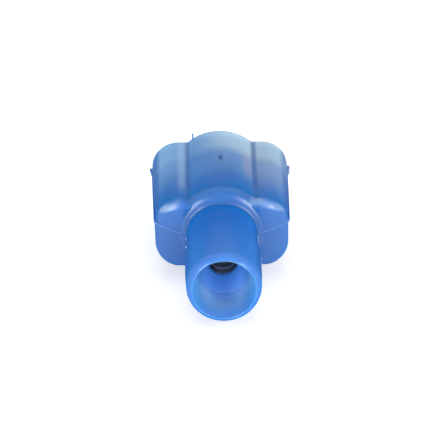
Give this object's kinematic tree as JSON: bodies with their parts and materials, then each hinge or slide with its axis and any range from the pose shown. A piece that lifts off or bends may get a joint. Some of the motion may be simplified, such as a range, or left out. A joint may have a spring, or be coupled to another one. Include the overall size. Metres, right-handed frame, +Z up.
{
  "type": "male spade terminal",
  "caption": "Male tab terminal with a fully insulating translucent blue hood, a flared wire mouth and a rolled metal crimp barrel with a flat blade inside.",
  "frame": {"origin": "centre of the bottom of the part's bounding box, under the terminal's axis", "axes": "+Y along the terminal's axis from the wire mouth to the hood's open rim, +Z up, with the blade lying flat (its width along X)"},
  "size_m": [0.0114, 0.0214, 0.0077],
  "materials": {
    "blue_nylon": "translucent, satin gloss",
    "tinned_brass": "tin plated, dull bright"
  },
  "bodies": {
    "root": {"insulating_housing": "blue_nylon", "male_tab_terminal": "tinned_brass"}
  },
  "joints": []
}
